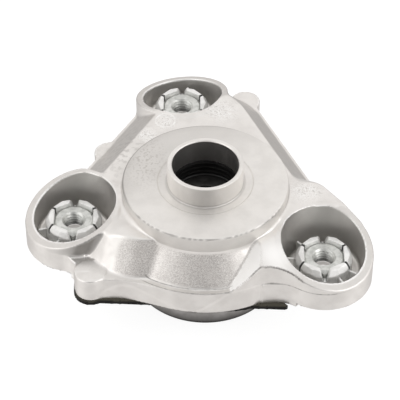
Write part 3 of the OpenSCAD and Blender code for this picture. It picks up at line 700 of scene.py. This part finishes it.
# Captive nuts: three zinc-plated steel hexagon nuts, M10 with a real thread of 1.5 mm pitch.
# Each is a grid of sections round its axis, closed both ways: chamfered hexagon outside, thread inside.
steel, tree, shader, here = new_finish("zinc_steel")
grain = noise(tree, here, 2400, 2)
cloud = noise(tree, here, 500, 4)
colour = mix(tree, lit(tree, cloud, 0.35, 0.68), (0.74, 0.75, 0.725), (0.60, 0.61, 0.585))
# Painted shade down the threaded bore
plug(
    tree, shader, Base_Color=mix(tree, kept(tree, "painted_shade"), colour, (0.26, 0.26, 0.25)), Metallic=0.9,
    Roughness=lit(tree, cloud, 0.3, 0.7, 0.36, 0.5), Normal=bumps(tree, grain, 0.25, 0.0001),
)

nut_top, half_flats, face_r, pitch, crest_r, thread_depth, mouth_r = 11.4, 8.5, 8.1, 1.5, 4.25, 0.8, 5.25
turn = np.linspace(0, 2 * np.pi, 144, endpoint=False)[:, None]
side = half_flats / np.cos((turn + np.pi / 6) % (np.pi / 3) - np.pi / 6)
bevel = np.maximum(side - face_r, 0) * np.tan(np.radians(30))
one = np.ones_like(turn)
depth = np.linspace(nut_top, floor_t, 60)[None, :]
wave = np.abs(((depth - floor_t) / pitch - turn / (2 * np.pi)) % 1 - 0.5) * 2
thread = crest_r + thread_depth * np.clip(wave * 1.25 - 0.12, 0, 1)
mouth = np.maximum(mouth_r - np.minimum(nut_top - depth, depth - floor_t), 0)
radius = np.concatenate([
    np.minimum(side, face_r), np.minimum(side, face_r + 0.02), side, side, side, side,
    np.minimum(side, face_r + 0.02), np.minimum(side, face_r), 6.6 * one, 5.35 * one,
    np.maximum(thread, mouth), 5.35 * one, 6.6 * one,
], 1)
level = np.concatenate([
    floor_t * one, (floor_t + 0.01) * one, floor_t + bevel + 0.02, floor_t + bevel + 0.4,
    nut_top - bevel - 0.4, nut_top - bevel - 0.02, (nut_top - 0.01) * one, nut_top * one,
    nut_top * one, nut_top * one, depth + 0 * turn, floor_t * one, floor_t * one,
], 1)
nut = np.stack([radius * np.cos(turn), radius * np.sin(turn), level], 2)
nut_faces = grid(*nut.shape[:2])[:, ::-1]
nut = nut.reshape(-1, 3)
points = np.concatenate([nut + [*c, 0] for c in lobes])
faces = np.concatenate([nut_faces + k * len(nut) for k in range(3)])
nuts = piece("captive_nuts", points, faces, facing_out(points, faces), steel, ["captive_nuts"], "zinc_steel")
# Painted shade in the bore, darker further down
in_bore = np.hypot(nut[:, 0], nut[:, 1]) < 5.2
store(nuts, "painted_shade", np.tile(in_bore * fade(nut_top - nut[:, 2], 1.5, 7.0), 3))


# Bush shell: a pressed steel cup under the housing, clamped by its flange, with its bottom edge turned in.
# One profile swept round the axis.
def turned(profile, steps):
    """Points, faces and normals of a closed profile swept round the axis."""
    points, faces = sweep(profile, steps)
    points = points.reshape(-1, 3)
    return points, faces, facing_out(points, faces)


grey, tree, shader, here = new_finish("shell_steel")
cloud = noise(tree, here, 160, 4)
colour = mix(tree, lit(tree, cloud, 0.35, 0.7), (0.36, 0.352, 0.344), (0.28, 0.272, 0.264))
plug(
    tree, shader, Base_Color=mix(tree, kept(tree, "low"), colour, (0.05, 0.048, 0.046)), Metallic=0.85,
    Roughness=lit(tree, cloud, 0.3, 0.7, 0.4, 0.52),
)

shell_r, shell_in, bend, bend_h, shell_bottom = 34.5, 32.95, (31.4, -23.9), -23.8, -27
profile = [
    (36.7, -1.38), (36.7, 0.15), (36.6, 0.19), (shell_in, 0.19), (shell_in, -10), (32.9, bend_h),
    *arc(bend, 1.5, 0, -90, 5), (29, -25.4), (27.4, -25.4), (27.3, -25.5), (27.3, -26.9),
    (27.4, shell_bottom), (30, shell_bottom), *arc(bend, 3.1, -90, 0, 12), (shell_r, -20),
    (shell_r, -10), (shell_r, -1.7), (34.6, -1.4), (35, -1.38),
]
points, faces, normals = turned(profile, 240)
cup = piece("bush_shell", points, faces, normals, grey, ["bush_shell"], "shell_steel")
store(cup, "low", 1 - fade(points[:, 2], -25, -21.5))


# Bush rubber: black rubber bonded between the shell and the sleeve, with a ridged collar up to the neck bore.
# One profile swept round the axis.
rubber, tree, shader, here = new_finish("bush_rubber")
cloud = noise(tree, here, 300, 4)
colour = mix(tree, lit(tree, cloud, 0.35, 0.7), (0.006, 0.006, 0.006), (0.012, 0.0115, 0.011))
plug(tree, shader, Base_Color=colour, Roughness=lit(tree, cloud, 0.3, 0.7, 0.38, 0.55))

collar_top, ridge_pitch, ridge_h = 28.5, 2.55, 0.3
level = np.linspace(collar_top, 20.85, 49)
ridges = ridge_h * (0.5 - 0.5 * np.cos(2 * np.pi * (collar_top - level) / ridge_pitch)) ** 1.5
profile = [
    (11.02, -21), (17.9, -21), (18.0, -20.9), (20.4, -5.5), (20.6, -5.4), (23.4, -5.4), (23.6, -5.5),
    (26, -20.9), (26.1, -21), (32.88, -21), (32.88, 0.2), (32.7, 0.3), (32.7, 8.2), (32.6, 8.4),
    (25, 18.7), (24.8, 18.8), (15.75, 18.85), (15.75, collar_top),
    *np.stack([bore_r - ridges, level], 1), (13.9, 20.8), (13.83, 18.3), (11.02, 18.3),
]
piece("bush_rubber", *turned(profile, 240), rubber, ["bush_rubber"], "bush_rubber")


# Rod sleeve: a dark steel sleeve in the rubber, with a wide seat for the strut rod's shoulder.
# One profile swept round the axis.
dark, tree, shader, here = new_finish("sleeve_steel")
cloud = noise(tree, here, 300, 4)
colour = mix(tree, lit(tree, cloud, 0.35, 0.7), (0.05, 0.048, 0.046), (0.08, 0.077, 0.074))
plug(tree, shader, Base_Color=colour, Metallic=0.6, Roughness=lit(tree, cloud, 0.3, 0.7, 0.35, 0.5))

rod_r, sleeve_r, seat_top = 7.1, 11, 20.8
profile = [
    (7.3, -24), (10.4, -24), (sleeve_r, -23.4), (sleeve_r, 0), (sleeve_r, 18.38), (11.02, 18.4), (13.7, 18.4),
    (13.8, 18.5), (13.8, 20.2), (13.2, seat_top), (7.6, seat_top), (rod_r, 20.3), (rod_r, 0), (rod_r, -23.8),
]
piece("rod_sleeve", *turned(profile, 160), dark, ["rod_sleeve"], "sleeve_steel")


# Retaining plate: black coated sheet steel under the flange, cut back round the three pads.
# Zero surface of a distance field with rounded edges. Rivets hold it to the bosses.
black, tree, shader, here = new_finish("black_plate")
cloud = noise(tree, here, 220, 4)
colour = mix(tree, lit(tree, cloud, 0.35, 0.7), (0.006, 0.0057, 0.0054), (0.012, 0.0114, 0.010))
# Lighter and browner on faces that point up
plug(
    tree, shader, Base_Color=mix(tree, kept(tree, "lighter_on_top"), colour, (0.075, 0.07, 0.055)),
    Specular_IOR_Level=0.15, Roughness=lit(tree, cloud, 0.3, 0.7, 0.4, 0.55),
)

corner, inset, plate_mid, plate_half = boss_r + 0.6, 1.2, -2.51, 1.08
plate_plan = np.array([
    [bosses[0][0], -front_line - inset], web_centre + [5.5, web_r - 3.4],
    drop(lobes[1], right_side, right_line - inset), drop(bosses[2], right_side, right_line - inset),
    bosses[2], lobes[2], drop(lobes[2], left_side, left_line - inset),
    drop(lobes[0], left_side, left_line - inset), lobes[0], bosses[0] - [corner, 0],
])


def plate(x, y, z):
    """Distance field of the plate: outline with round rivet corners, less pads, shell and rivet holes."""
    ring = np.hypot(x, y)
    boss_d = [np.hypot(x - b[0], y - b[1]) for b in bosses]
    plan = polygon(x, y, plate_plan)
    for d in boss_d:
        plan = np.minimum(plan, d - corner)
    plan = np.minimum(plan, np.maximum(ring - 47.2 - 0.16 * np.clip(x, 0, 18), np.maximum(1 - x, y + 40)))
    for c in lobes:
        plan = np.maximum(plan, lobe_r + 1.4 - np.hypot(x - c[0], y - c[1]))
    plan = np.maximum(plan, shell_r + 0.3 - ring)
    for d in boss_d:
        plan = np.maximum(plan, rivet_r - d)
    return common(plan, np.abs(z - plate_mid) - plate_half, 0.25)


points, faces, normals = surface(plate, (-72, -52, -5), (56, 92, 0), 0.62, 3)
sheet = piece("retaining_plate", points, faces, normals, black, ["retaining_plate"], "black_plate")
store(sheet, "lighter_on_top", fade(normals[:, 2], 0.6, 0.9))


# Plate rivets: three aluminium drive rivets with domed heads, set from below through the plate.
# They end in the bosses. One profile swept round each rivet's axis, in the turned hub's metal.
head_bottom, seat, shank_r, rivet_top = -5.69, -3.62, 2.5, 6.1
profile = np.array([
    (0.02, head_bottom), *arc((0, -0.3), 5.4, -87, -58, 6), (3.9, -4.7), (4.2, -4.2), (4.28, -3.7),
    (4.2, seat), (2.6, seat), (shank_r, -3.5), (shank_r, 0), (shank_r, 5.8), (2.2, rivet_top),
    (0.02, rivet_top),
])
profile[:, 1] = np.maximum(profile[:, 1], head_bottom)
rivet, rivet_faces, _ = turned(profile, 72)
points = np.concatenate([rivet + [*b, 0] for b in bosses])
faces = np.concatenate([rivet_faces + k * len(rivet) for k in range(3)])
piece("plate_rivets", points, faces, facing_out(points, faces), machined, ["plate_rivets"], "rivet_metal")
